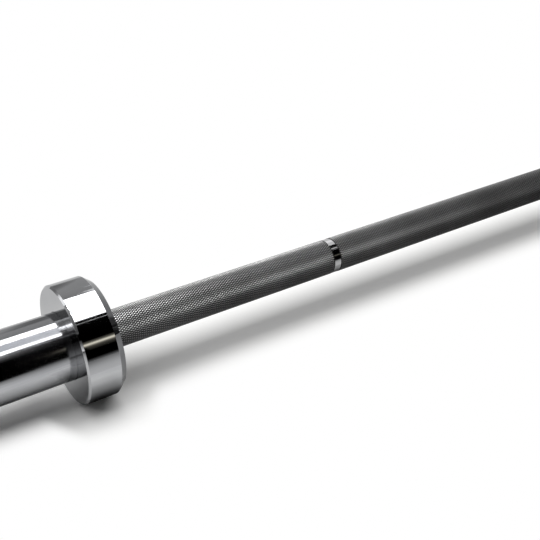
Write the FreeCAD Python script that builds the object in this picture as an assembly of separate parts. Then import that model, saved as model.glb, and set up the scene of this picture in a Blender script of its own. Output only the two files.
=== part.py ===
import FreeCAD, Part

import math
import os

# Olympic barbell: a knurled steel shaft with a free-spinning sleeve on each end.
# Frame: X along the bar, Z up, origin on the bar's axis at mid-length. Millimetres.
# Each end is laid out by its distance s outwards from the inner face of its collar,
# built on the +X end and mirrored to the -X end. The sizes below give a 28 mm grip,
# 50 mm sleeves, 910 mm between the ring marks and 1310 mm between the collars.

# Grip: lengths on one side of mid-length, outwards, except for the middle band
grip_diameter = 28.0
knurl_height = 0.15            # crests above the plain grip, on the radius
centre_knurl_length = 120.0    # the whole middle band
plain_grip_length = 115.0      # smooth steel beside the middle band
inner_knurl_length = 277.0     # up to the ring mark
ring_mark_width = 6.0
outer_knurl_length = 194.0     # from the ring mark towards the collar
knurl_collar_gap = 3.0         # plain shaft left in front of the collar

# Collar
collar_height = 19.0           # above the sleeve, on the radius
collar_width = 29.0
collar_plate_bevel = 1.4       # 45 degree edge on the plate side
collar_hand_bevel_radial = 4.0
collar_hand_bevel_axial = 5.0
collar_bore_bevel = 0.3        # leaves a fine joint line against the sleeve

# Sleeve tube
loadable_length = 416.0        # plain sleeve outside the collar, where plates go
sleeve_wall = 7.5              # over the bearing seats
sleeve_relief_width = 2.0      # turned groove under the collar's plate side
sleeve_relief_depth = 0.4
sleeve_nose_length = 2.0       # lead-in for plates at the open end
sleeve_nose_depth = 1.2
bore_relief_depth = 0.3        # clearance bore between the bearing seats
seat_margin = 6.0              # from bush to bearing, and of seat bore past the bearing

# Shaft journals inside the sleeves
journal_undersize = 0.04       # on the radius, below the plain grip
shaft_end_bevel = 1.5
shaft_end_land = 0.7           # from the outer stop ring's groove to the bevel

# Running and seating clearances
bush_play = 0.05               # radial, bush on journal
end_float = 0.15               # axial, bush flange to thrust washer
seal_play = 0.1                # radial, seal lip to journal
washer_play = 0.1              # radial, thrust washer on journal
washer_wall_gap = 0.5          # radial, thrust washer to cavity wall
ring_seat_play = 0.05          # radial, spring ring to its groove floor
lug_play = 0.6                 # radial, stop ring lugs to cavity wall
groove_play = 0.1              # axial, spring ring in its groove

# Dust seal
seal_recess = 0.5
seal_width = 4.0
seal_body_thickness = 3.0      # radial
seal_lip_width = 1.6
seal_to_groove = 0.6

# Stop rings: open spring rings snapped into grooves in the shaft
stop_ring_thickness = 1.5
stop_ring_back_width = 3.2     # radial, opposite the gap
stop_ring_gap_width = 1.6      # radial, beside the gap
stop_ring_groove_depth = 0.65
stop_ring_lug_radius = 2.6
stop_ring_gap = 3.0
ring_hole_radius = 1.1         # for ring pliers

# Thrust washers and flanged bronze bushes
washer_thickness = 2.0
bush_length = 28.0             # without the flange
bush_flange_thickness = 3.0

# Drawn-cup needle bearings
needle_diameter = 2.5
needle_end_bevel = 0.3
needle_play = 0.02             # radial, needle to each raceway
cup_wall = 1.0
cup_width = 20.0
cup_lip_gap = 0.7              # radial, cup lip to journal
cage_race_gap = 0.57           # radial, cage to each raceway
cage_end_play = 0.3
cage_rim = 1.0                 # solid ring at each end of the pockets
cage_bar = 1.9                 # least web between two pockets
pocket_play = 0.06

# End cap and its spring ring in the mouth of the sleeve
cap_ledge = 1.0                # radial step that the cap sits on
cap_thickness = 4.0
cap_play = 0.05
cap_rim_width = 4.0            # flat rim round the dished middle
cap_dish_depth = 0.8
cap_edge_bevel = 0.5
cap_to_shaft = 1.0
cap_ring_thickness = 1.75
cap_ring_groove_depth = 1.25
cap_ring_back_width = 3.4      # radial, opposite the gap
cap_ring_gap_width = 1.6       # radial, beside the gap
cap_ring_lug_radius = 2.8
cap_ring_gap = 9.0
mouth_lip = 3.15               # sleeve left outside the cap ring's groove

# Radii, from the shaft outwards
grip_radius = grip_diameter / 2
crest_radius = grip_radius + knurl_height
journal_radius = grip_radius - journal_undersize
stop_groove_radius = journal_radius - stop_ring_groove_depth
stop_ring_inner_radius = stop_groove_radius + ring_seat_play
stop_ring_reach = stop_ring_inner_radius + 2 * stop_ring_lug_radius
needle_radius = needle_diameter / 2
needle_pitch_radius = journal_radius + needle_play + needle_radius
raceway_radius = needle_pitch_radius + needle_radius + needle_play
cage_inner_radius = journal_radius + cage_race_gap
cage_outer_radius = raceway_radius - cage_race_gap
seat_radius = raceway_radius + cup_wall
bore_relief_radius = seat_radius + bore_relief_depth
sleeve_radius = seat_radius + sleeve_wall
collar_radius = sleeve_radius + collar_height
cavity_radius = max(stop_ring_reach, seat_radius) + lug_play
washer_radius = cavity_radius - washer_wall_gap
mouth_radius = cavity_radius + cap_ledge
cap_radius = mouth_radius - cap_play
cap_groove_radius = mouth_radius + cap_ring_groove_depth

# Needles that fit round the cage
pocket_width = needle_diameter + 2 * pocket_play
needle_count = int(2 * math.pi * cage_inner_radius / (pocket_width + cage_bar))

# Stations on one side of mid-length
centre_knurl_end = centre_knurl_length / 2
inner_knurl_start = centre_knurl_end + plain_grip_length
ring_mark_start = inner_knurl_start + inner_knurl_length
ring_mark_end = ring_mark_start + ring_mark_width
outer_knurl_end = ring_mark_end + outer_knurl_length
half_gap = outer_knurl_end + knurl_collar_gap

# Stations along one end, as distances outwards from the collar's inner face
stop_groove_width = stop_ring_thickness + groove_play
sleeve_end = collar_width + loadable_length
seal_outer = seal_recess + seal_width
inner_groove = seal_outer + seal_to_groove
inner_washer = inner_groove + stop_ring_thickness
inner_flange = inner_washer + washer_thickness + end_float
inner_seat = inner_flange + bush_flange_thickness
inner_cup = inner_seat + bush_length + seat_margin
inner_seat_end = inner_cup + cup_width + seat_margin
cap_groove_outer = sleeve_end - mouth_lip
cap_groove_inner = cap_groove_outer - cap_ring_thickness - groove_play
cap_seat = cap_groove_inner - cap_thickness
shaft_end = cap_seat - cap_to_shaft
outer_groove_end = shaft_end - shaft_end_bevel - shaft_end_land
outer_groove = outer_groove_end - stop_groove_width
outer_ring = outer_groove_end - stop_ring_thickness
outer_washer = outer_ring - washer_thickness
outer_flange_end = outer_washer - end_float
outer_seat = outer_flange_end - bush_flange_thickness
outer_cup = outer_seat - bush_length - seat_margin - cup_width
outer_seat_end = outer_cup - seat_margin

bar_axis = FreeCAD.Vector(1, 0, 0)
origin = FreeCAD.Vector(0, 0, 0)


def turned(profile, axis_height=0.0):
    """A lathe-turned solid from (s, radius) corners, about a line along the bar."""
    corners = [FreeCAD.Vector(half_gap + s, 0, axis_height + r) for s, r in profile]
    face = Part.Face(Part.makePolygon(corners + corners[:1]))
    return face.revolve(FreeCAD.Vector(0, 0, axis_height), bar_axis, 360)


def tube(start, end, inner_radius, outer_radius):
    """A plain tube on the bar's axis."""
    return turned([(start, inner_radius), (start, outer_radius), (end, outer_radius), (end, inner_radius)])


def disc(s, thickness, radius, y=0.0, z=0.0):
    """A round disc square to the bar's axis, centred at (y, z)."""
    return Part.makeCylinder(radius, thickness, FreeCAD.Vector(half_gap + s, y, z), bar_axis)


def slab(s, length, width, low, high):
    """A box along the bar, centred across Y and reaching from low to high in Z."""
    return Part.makeBox(length, width, high - low, FreeCAD.Vector(half_gap + s, -width / 2, low))


def around(shape, count):
    """Copies of a shape spread evenly round the bar's axis."""
    copies = []
    for i in range(count):
        copy = shape.copy()
        copy.rotate(origin, bar_axis, 360.0 * i / count)
        copies.append(copy)
    return copies


def sprung(body, s, thickness, lug_distance, lug_radius, gap):
    """An open spring ring: a gap at the bottom of the body, and a drilled lug on each side of it."""
    lug_angle = math.asin((gap / 2 + lug_radius) / lug_distance)
    lug_y, lug_z = lug_distance * math.sin(lug_angle), -lug_distance * math.cos(lug_angle)
    lugs = [disc(s, thickness, lug_radius, y, lug_z) for y in (-lug_y, lug_y)]
    holes = [disc(s, thickness, ring_hole_radius, y, lug_z) for y in (-lug_y, lug_y)]
    slot = slab(s, thickness, gap, -lug_distance - 2 * lug_radius, 0.0)
    return body.fuse(lugs).cut([slot] + holes)


def make_shaft():
    """Solid bar: knurled bands and ring marks on the grip, a grooved journal at each end."""
    outline = [(centre_knurl_end - knurl_height, crest_radius), (centre_knurl_end, grip_radius)]
    for start, end in ((inner_knurl_start, ring_mark_start), (ring_mark_end, outer_knurl_end)):
        outline += [(start, grip_radius), (start + knurl_height, crest_radius)]
        outline += [(end - knurl_height, crest_radius), (end, grip_radius)]
    outline += [(half_gap, grip_radius), (half_gap, journal_radius)]
    for groove in (inner_groove, outer_groove):
        start, end = half_gap + groove, half_gap + groove + stop_groove_width
        outline += [(start, journal_radius), (start, stop_groove_radius)]
        outline += [(end, stop_groove_radius), (end, journal_radius)]
    tip = half_gap + shaft_end
    outline += [(tip - shaft_end_bevel, journal_radius), (tip, journal_radius - shaft_end_bevel)]
    other_half = [(-x, r) for x, r in reversed(outline)]
    profile = [(-tip, 0.0)] + other_half + outline + [(tip, 0.0)]
    return turned([(x - half_gap, r) for x, r in profile])


def make_sleeve():
    """Steel tube: collar seat, loadable length, stepped bore for the bearings and the cap."""
    return turned([
        (0.0, cavity_radius),
        (0.0, sleeve_radius),
        (collar_width - sleeve_relief_width, sleeve_radius),
        (collar_width - sleeve_relief_width, sleeve_radius - sleeve_relief_depth),
        (collar_width, sleeve_radius - sleeve_relief_depth),
        (collar_width, sleeve_radius),
        (sleeve_end - sleeve_nose_length, sleeve_radius),
        (sleeve_end, sleeve_radius - sleeve_nose_depth),
        (sleeve_end, mouth_radius),
        (cap_groove_outer, mouth_radius),
        (cap_groove_outer, cap_groove_radius),
        (cap_groove_inner, cap_groove_radius),
        (cap_groove_inner, mouth_radius),
        (cap_seat, mouth_radius),
        (cap_seat, cavity_radius),
        (outer_seat, cavity_radius),
        (outer_seat, seat_radius),
        (outer_seat_end, seat_radius),
        (outer_seat_end, bore_relief_radius),
        (inner_seat_end, bore_relief_radius),
        (inner_seat_end, seat_radius),
        (inner_seat, seat_radius),
        (inner_seat, cavity_radius),
    ])


def make_collar():
    """Bevelled ring shrunk on the inner end of the sleeve, the stop for the plates."""
    return turned([
        (0.0, sleeve_radius),
        (0.0, collar_radius - collar_hand_bevel_radial),
        (collar_hand_bevel_axial, collar_radius),
        (collar_width - collar_plate_bevel, collar_radius),
        (collar_width, collar_radius - collar_plate_bevel),
        (collar_width, sleeve_radius + collar_bore_bevel),
        (collar_width - collar_bore_bevel, sleeve_radius),
    ])


def make_dust_seal():
    """Rubber ring pressed in the sleeve's inner mouth, with a narrow lip on the journal."""
    root_radius = cavity_radius - seal_body_thickness
    lip_radius = journal_radius + seal_play
    lip_start = seal_recess + (seal_width - seal_lip_width) / 2
    return turned([
        (seal_recess, cavity_radius),
        (seal_recess, root_radius),
        (lip_start, lip_radius),
        (lip_start + seal_lip_width, lip_radius),
        (seal_outer, root_radius),
        (seal_outer, cavity_radius),
    ])


def make_stop_ring(s):
    """Spring ring for a shaft groove, narrower towards its gap, with its lugs outwards."""
    body_radius = stop_ring_inner_radius + (stop_ring_back_width + stop_ring_gap_width) / 2
    offset = (stop_ring_back_width - stop_ring_gap_width) / 2
    body = disc(s, stop_ring_thickness, body_radius, z=offset)
    lug_distance = stop_ring_inner_radius + stop_ring_lug_radius
    ring = sprung(body, s, stop_ring_thickness, lug_distance, stop_ring_lug_radius, stop_ring_gap)
    return ring.cut(disc(s, stop_ring_thickness, stop_ring_inner_radius)).removeSplitter().Solids[0]


def make_thrust_washer(s):
    """Plain steel washer between a stop ring and a bush flange."""
    return tube(s, s + washer_thickness, journal_radius + washer_play, washer_radius)


def make_bush(flange_face, shoulder, body_end):
    """Flanged bronze bush. Its flange lies between the flange face and the seat's shoulder."""
    bore_radius = journal_radius + bush_play
    return turned([
        (flange_face, bore_radius),
        (flange_face, cavity_radius),
        (shoulder, cavity_radius),
        (shoulder, seat_radius),
        (body_end, seat_radius),
        (body_end, bore_radius),
    ])


def make_bearing_cup(s):
    """Thin drawn cup, turned in at both ends to hold the cage."""
    lip_radius = journal_radius + cup_lip_gap
    return turned([
        (s, lip_radius),
        (s, seat_radius),
        (s + cup_width, seat_radius),
        (s + cup_width, lip_radius),
        (s + cup_width - cup_wall, lip_radius),
        (s + cup_width - cup_wall, raceway_radius),
        (s + cup_wall, raceway_radius),
        (s + cup_wall, lip_radius),
    ])


def make_bearing_cage(s):
    """Ring with one open pocket for each needle."""
    start, end = s + cup_wall + cage_end_play, s + cup_width - cup_wall - cage_end_play
    ring = tube(start, end, cage_inner_radius, cage_outer_radius)
    pocket_length = end - start - 2 * cage_rim
    pocket = slab(start + cage_rim, pocket_length, pocket_width, 0.0, raceway_radius)
    return ring.cut(around(pocket, needle_count)).removeSplitter().Solids[0]


def make_bearing_needles(s):
    """The needle rollers of one bearing, each a separate solid in its pocket."""
    margin = cup_wall + cage_end_play + cage_rim + pocket_play
    start, end = s + margin, s + cup_width - margin
    needle = turned([
        (start, 0.0),
        (start, needle_radius - needle_end_bevel),
        (start + needle_end_bevel, needle_radius),
        (end - needle_end_bevel, needle_radius),
        (end, needle_radius - needle_end_bevel),
        (end, 0.0),
    ], needle_pitch_radius)
    return Part.makeCompound(around(needle, needle_count))


def make_end_cap():
    """Dished disc that closes the sleeve, seated on the ledge in its mouth."""
    outer_face = cap_seat + cap_thickness
    dish_radius = cap_radius - cap_edge_bevel - cap_rim_width
    return turned([
        (cap_seat, 0.0),
        (cap_seat, cap_radius),
        (outer_face - cap_edge_bevel, cap_radius),
        (outer_face, cap_radius - cap_edge_bevel),
        (outer_face, dish_radius),
        (outer_face - cap_dish_depth, dish_radius - cap_dish_depth),
        (outer_face - cap_dish_depth, 0.0),
    ])


def make_end_cap_ring():
    """Spring ring sprung outwards into the groove in front of the cap, with its lugs inwards."""
    s = cap_groove_inner
    outer_radius = cap_groove_radius - ring_seat_play
    hollow_radius = outer_radius - (cap_ring_back_width + cap_ring_gap_width) / 2
    offset = (cap_ring_back_width - cap_ring_gap_width) / 2
    body = disc(s, cap_ring_thickness, outer_radius)
    body = body.cut(disc(s, cap_ring_thickness, hollow_radius, z=-offset))
    lug_distance = outer_radius - cap_ring_lug_radius
    ring = sprung(body, s, cap_ring_thickness, lug_distance, cap_ring_lug_radius, cap_ring_gap)
    return ring.removeSplitter().Solids[0]


def make_end():
    """Every piece of the +X end, by name."""
    return {
        "sleeve": make_sleeve(),
        "collar": make_collar(),
        "dust_seal": make_dust_seal(),
        "inner_stop_ring": make_stop_ring(inner_groove),
        "inner_thrust_washer": make_thrust_washer(inner_washer),
        "inner_bush": make_bush(inner_flange, inner_seat, inner_seat + bush_length),
        "inner_bearing_cup": make_bearing_cup(inner_cup),
        "inner_bearing_cage": make_bearing_cage(inner_cup),
        "inner_bearing_needles": make_bearing_needles(inner_cup),
        "outer_bearing_cup": make_bearing_cup(outer_cup),
        "outer_bearing_cage": make_bearing_cage(outer_cup),
        "outer_bearing_needles": make_bearing_needles(outer_cup),
        "outer_bush": make_bush(outer_flange_end, outer_seat, outer_seat - bush_length),
        "outer_thrust_washer": make_thrust_washer(outer_washer),
        "outer_stop_ring": make_stop_ring(outer_ring),
        "end_cap": make_end_cap(),
        "end_cap_ring": make_end_cap_ring(),
    }


def main():
    """Writes one STEP file for each piece of the bar."""
    os.makedirs("parts", exist_ok=True)
    make_shaft().exportStep("parts/shaft.step")
    for name, piece in make_end().items():
        piece.exportStep(f"parts/right_{name}.step")
        piece.mirror(origin, bar_axis).exportStep(f"parts/left_{name}.step")


main()
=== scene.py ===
"""Looks of the olympic barbell: turned chrome, cut knurl and a soft overhead studio.

The frame's axes are kept: X along the bar, Z up, the origin on the axis at mid-length. Sizes are in
millimetres and turn to metres where a mesh is made. The end at -X is the one seen close up.
"""
import logging
import math
from dataclasses import dataclass, field
from enum import Enum

import bpy
import numpy as np
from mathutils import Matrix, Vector


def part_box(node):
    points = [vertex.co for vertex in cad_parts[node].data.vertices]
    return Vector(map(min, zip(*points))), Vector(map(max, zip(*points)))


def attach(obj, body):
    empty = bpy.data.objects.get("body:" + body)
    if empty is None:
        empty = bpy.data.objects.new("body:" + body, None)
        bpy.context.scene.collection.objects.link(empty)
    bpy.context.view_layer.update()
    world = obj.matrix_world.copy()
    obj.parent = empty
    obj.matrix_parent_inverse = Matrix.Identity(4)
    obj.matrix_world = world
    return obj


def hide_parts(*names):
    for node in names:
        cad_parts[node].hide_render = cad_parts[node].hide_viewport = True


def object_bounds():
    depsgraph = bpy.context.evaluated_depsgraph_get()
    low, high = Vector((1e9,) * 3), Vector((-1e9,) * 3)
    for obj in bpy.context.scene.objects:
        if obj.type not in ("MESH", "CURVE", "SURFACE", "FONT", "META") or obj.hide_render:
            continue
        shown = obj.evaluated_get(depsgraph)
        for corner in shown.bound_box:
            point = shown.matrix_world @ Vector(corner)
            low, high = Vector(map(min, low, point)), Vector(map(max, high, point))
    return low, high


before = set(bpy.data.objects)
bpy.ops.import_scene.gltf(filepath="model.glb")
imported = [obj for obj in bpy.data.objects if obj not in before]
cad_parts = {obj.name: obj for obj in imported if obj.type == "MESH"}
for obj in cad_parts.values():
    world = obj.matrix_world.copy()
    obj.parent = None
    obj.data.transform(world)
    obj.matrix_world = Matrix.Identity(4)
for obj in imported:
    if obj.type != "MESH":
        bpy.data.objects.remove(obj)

LOG = logging.getLogger("barbell")
MM = 0.001
CAD_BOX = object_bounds()
UNWRAP = "OFBake"  # name of the pieces' unwrap map
FACE_POWER = 4.0  # watts that a square metre of lamp face takes at brightness 1
COLLAR_BEVEL = (5.0, 4.0)  # bevel on a collar's hand side, along and across, in mm
HAIR = 0.01  # from the collar's flat face, which stays polished, to the duller band on its bevel, in mm

# How the finishes' patterns are drawn. Noise runs from 0 to 1 and mostly stays near its middle.
DRAWN_SCALE = (0.02, 1.0, 1.0)  # drawn lines are fifty times as long as wide
SCUFF_SCALE = (0.015, 1.0, 1.0)  # scuffs are longer still
SMUDGED = (0.42, 0.72)  # noise at a smudge's edge and inside it
SCUFFED = (0.6, 0.78)  # noise at a scuff's edge and inside it
SCUFF_SHARE = 0.6  # dirt in a scuff as a share of that in a smudge
MARK_HAZE = 0.4  # dirt that a tool mark counts for
HAZE = (0.1, 1.3)  # dirt and marks together, where clean and where worn
PATCHED = (0.3, 0.7)  # noise in the knurl's dullest and brightest patches
PATCH_GAIN = (0.75, 1.1)  # brightness of these patches
RUBBED_AND_UNSHADED = (0.45, 1.0)  # share of a diamond's height where the rubbed bright top starts and is full; below it the cuts hold grime and painted shade

Tree = bpy.types.NodeTree
Socket = bpy.types.NodeSocket
Material = bpy.types.Material
Pair = tuple[float, float]  # from and to
Corner = tuple[float, float, float]  # place along the bar, distance from the axis, edge rounding


class Side(Enum):
    """The two ends of the bar, by the sign of X."""

    LEFT = -1
    RIGHT = 1

    @property
    def label(self) -> str:
        """Prefix of the names on this end."""
        return self.name.lower()


class Reach(Enum):
    """What a lamp lights: all but the floor, or the floor alone. The value is the floor's link state."""

    MIRRORS = "EXCLUDE"
    FLOOR = "INCLUDE"


class Cloth(Enum):
    """What a card is hung with."""

    SOLID = "hides what lies behind it"
    SHEER = "adds its glow to what lies behind it"
    VEIL = "dims what lies behind it by its level"


class Lay(Enum):
    """Which way the marks of making run over a metal surface."""

    TURNED = "rings about the bar's axis"
    DRAWN = "lines along the bar"
    EVEN = "grit with no direction"


def linear(code: str) -> tuple[float, float, float, float]:
    """Turns an sRGB hex colour into linear RGBA.

    Args:
        code: six hex digits after a hash.

    Returns:
        Red, green, blue and alpha, from 0 to 1.
    """
    shares = [int(code[i:i + 2], 16) / 255 for i in (1, 3, 5)]
    red, green, blue = [s / 12.92 if s <= 0.04045 else ((s + 0.055) / 1.055) ** 2.4 for s in shares]
    return red, green, blue, 1.0


def add(tree: Tree, kind: str, sockets: dict | None = None, out: int | str = 0,
        **settings: object) -> Socket | None:
    """Adds one node with its settings, values and links.

    Args:
        tree: node tree of a material or the world.
        kind: node type after the ShaderNode prefix.
        sockets: value, or output to link from, by input name or number.
        out: number or name of the output wanted.
        **settings: properties of the node itself.

    Returns:
        The output socket, or None for a node that has none.
    """
    node = tree.nodes.new("ShaderNode" + kind)
    for name, value in settings.items():
        setattr(node, name, value)
    for key, value in (sockets or {}).items():
        if isinstance(value, Socket):
            tree.links.new(value, node.inputs[key])
        else:
            node.inputs[key].default_value = value
    return node.outputs[out] if node.outputs else None


def blank_material(name: str) -> tuple[Material, Tree]:
    """A material with an empty node tree.

    Args:
        name: the real material and how its surface was made.

    Returns:
        The material and its tree.
    """
    material = bpy.data.materials.new(name)
    material.use_nodes = True
    material.node_tree.nodes.clear()
    return material, material.node_tree


def ramp(tree: Tree, value: Socket, source: Pair = (0.0, 1.0), target: Pair = (0.0, 1.0),
         **settings: object) -> Socket:
    """Carries a value over from one range to another and holds it at the ends.

    Args:
        tree: node tree of a material, a lamp or the world.
        value: what is carried over.
        source: two levels of the value.
        target: what these two turn into.
        **settings: properties of the node itself.

    Returns:
        The carried value.
    """
    sockets = dict(enumerate((value, *source, *target)))
    return add(tree, "MapRange", sockets, **settings)


def calc(tree: Tree, operation: str, *values: object, **settings: object) -> Socket:
    """Adds one step of arithmetic on numbers or outputs."""
    return add(tree, "Math", dict(enumerate(values)), operation=operation, **settings)


def noise(tree: Tree, place: Socket, size: float, detail: float) -> Socket:
    """Cloudy noise over a place, with features of this size in mm."""
    return add(tree, "TexNoise", {"Vector": place, "Scale": 1 / (size * MM), "Detail": detail})


def blend(tree: Tree, share: Socket, first: object, second: object) -> Socket:
    """Mixes a second colour into a first by its share."""
    return add(tree, "Mix", {0: share, 6: first, 7: second}, 2, data_type="RGBA")


def from_middle(tree: Tree, place: Socket) -> Socket:
    """Distance along the bar from mid-length, in metres."""
    return calc(tree, "ABSOLUTE", add(tree, "SeparateXYZ", {0: place}))


def coat(tree: Tree, surface: dict) -> None:
    """Ends a material's tree with a surface that has these values and links."""
    add(tree, "OutputMaterial", {0: add(tree, "BsdfPrincipled", surface)})


def span(node: str) -> Pair:
    """Where a CAD node starts and ends along the bar, in mm."""
    low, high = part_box(node)
    return low.x / MM, high.x / MM


@dataclass(frozen=True)
class MetalFinish:
    """A metal as it left its last machine, then handled."""

    name: str  # common name of the metal and how its surface was made
    bright: str  # colour where it is clean
    dull: str  # colour where it is smudged or stained
    smooth: float  # roughness where it is clean
    worn: float  # roughness where it is smudged
    lay: Lay  # which way the tool marks run
    mark: float  # spacing of the tool marks, in mm, drawn as coarse as it needs to show
    mark_depth: float  # height of the marks, in mm
    smudge: float  # width of a smudge, in mm
    scuff: float = 0.0  # width of a scuff line along the bar, in mm, or 0 for none
    rim: float = 0.75  # share of the usual gain in brightness at a grazing angle
    bevel: Pair | None = None  # from and to, in mm from mid-length, of a band left as turned, or None
    bevel_shade: str = "#868789"  # colour of that band

    def coordinates(self, tree: Tree, place: Socket) -> Socket:
        """Place as the tool saw it: along the bar and out from its axis, so that marks are rings.

        Args:
            tree: the material's node tree.
            place: object coordinates.

        Returns:
            The vector that the marks are drawn on.
        """
        if self.lay is Lay.EVEN:
            return place
        if self.lay is Lay.DRAWN:
            return add(tree, "Mapping", {"Vector": place, "Scale": DRAWN_SCALE})
        across = add(tree, "VectorMath", {0: place, 1: (0.0, 1.0, 1.0)}, operation="MULTIPLY")
        radius = add(tree, "VectorMath", {0: across}, out=1, operation="LENGTH")
        along = add(tree, "SeparateXYZ", {0: place})
        return add(tree, "CombineXYZ", {0: along, 1: radius})

    def material(self) -> Material:
        """Builds the finish: tool marks as bump, smudges and scuffs as duller, rougher patches.

        Returns:
            The material.
        """
        material, tree = blank_material(self.name)
        place = add(tree, "TexCoord", out=3)
        marks = noise(tree, self.coordinates(tree, place), self.mark, 3.0)
        dirt = ramp(tree, noise(tree, place, self.smudge, 4.0), SMUDGED)
        if self.scuff:
            drawn = add(tree, "Mapping", {"Vector": place, "Scale": SCUFF_SCALE})
            scuffs = ramp(tree, noise(tree, drawn, self.scuff, 2.0), SCUFFED, (0.0, SCUFF_SHARE))
            dirt = calc(tree, "MAXIMUM", dirt, scuffs)
        shade = blend(tree, dirt, linear(self.bright), linear(self.dull))
        if self.bevel:
            start, end = (distance * MM for distance in self.bevel)
            band = calc(tree, "COMPARE", from_middle(tree, place), (start + end) / 2, (end - start) / 2)
            shade = blend(tree, band, shade, linear(self.bevel_shade))
        haze = calc(tree, "MULTIPLY_ADD", marks, MARK_HAZE, dirt)
        rough = ramp(tree, haze, HAZE, (self.smooth, self.worn))
        bump = add(tree, "Bump", {"Height": marks, "Distance": self.mark_depth * MM})
        surface = {"Base Color": shade, "Metallic": 1.0, "Roughness": rough, "Normal": bump}
        coat(tree, surface | {"Specular Tint": (self.rim, self.rim, self.rim, 1.0)})
        return material


@dataclass(frozen=True)
class KnurlFinish:
    """Hard chrome over cut diamonds: bright worn lands, valleys darkened by grime and painted shade."""

    name: str  # common name and how the surface was made
    land: str  # colour on the tops
    valley: str  # colour at the bottom of the cuts: grime and painted shade
    smooth: float  # roughness on the tops
    worn: float  # roughness at the bottom of the cuts
    patch: float  # size of the slow change in brightness along the bar, in mm
    # Distances from the bar's middle between which painted shade on the knurl's tops fades out, in mm: full
    # inside the first, none past the second.
    shaded_span: Pair = (300.0, 620.0)
    film: float = 0.5  # share of the tops' brightness that the painted shade leaves
    sheen: Pair = (1.0, 0.55)  # brightness at a low angle where the painted shade is full and where there is none

    def material(self) -> Material:
        """Builds the finish from the height that each diamond carries as an attribute.

        Returns:
            The material.
        """
        material, tree = blank_material(self.name)
        place = add(tree, "TexCoord", out=3)
        height = add(tree, "Attribute", out=2, attribute_name="height")
        spread = ramp(tree, noise(tree, place, self.patch, 3.0), PATCHED, PATCH_GAIN)
        along = from_middle(tree, place)
        shaded_span = (self.shaded_span[0] * MM, self.shaded_span[1] * MM)
        # Painted shade: the tops darken towards the bar's middle, down to the shaded share inside the shaded
        # span.
        painted_shade_gain = ramp(tree, along, shaded_span, (self.film, 1.0))
        bright = calc(tree, "MULTIPLY", spread, painted_shade_gain)
        # Grime and painted shade darken the cuts; the rubbed tops stay bright.
        rubbed_and_unshaded = ramp(tree, height, RUBBED_AND_UNSHADED)
        unshaded_and_clean = calc(tree, "MULTIPLY", rubbed_and_unshaded, bright, use_clamp=True)
        shade = blend(tree, unshaded_and_clean, linear(self.valley), linear(self.land))
        rough = ramp(tree, unshaded_and_clean, target=(self.worn, self.smooth))
        # At a low angle the tops shine more where the painted shade is full, and less where there is none.
        sheen = ramp(tree, along, shaded_span, self.sheen)
        coat(tree, {"Base Color": shade, "Metallic": 1.0, "Roughness": rough, "Specular Tint": sheen})
        return material


@dataclass(frozen=True)
class RubberFinish:
    """Moulded nitrile rubber: matt black with a fine grain and a little dust."""

    name: str  # common name and how the surface was made
    fresh: str  # colour of clean rubber
    dusty: str  # colour under dust
    grain: float = 0.3  # size of the moulded grain, in mm
    grain_depth: float = 0.02  # height of the grain, in mm
    dust: float = 6.0  # size of a dusty patch, in mm
    rough: Pair = (0.5, 0.75)  # roughness where it is clean and where it is dusty
    ior: float = 1.52  # how strongly it bends light

    def material(self) -> Material:
        """Builds the finish: grain as bump, dust as slow patches.

        Returns:
            The material.
        """
        material, tree = blank_material(self.name)
        place = add(tree, "TexCoord", out=3)
        dust = noise(tree, place, self.dust, 4.0)
        shade = blend(tree, dust, linear(self.fresh), linear(self.dusty))
        rough = ramp(tree, dust, target=self.rough)
        grain = noise(tree, place, self.grain, 2.0)
        bump = add(tree, "Bump", {"Height": grain, "Distance": self.grain_depth * MM})
        coat(tree, {"Base Color": shade, "Roughness": rough, "IOR": self.ior, "Normal": bump})
        return material


COLLAR_FACE = span("right_collar")[0]
# Ground and hard chromed: a mirror with a faint haze.
GROUND_SHAFT = MetalFinish("hard chrome on ground steel", "#A8A8A9", "#9D9D9E", 0.05, 0.12,
                           Lay.TURNED, 3.0, 0.002, 40.0)
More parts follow.
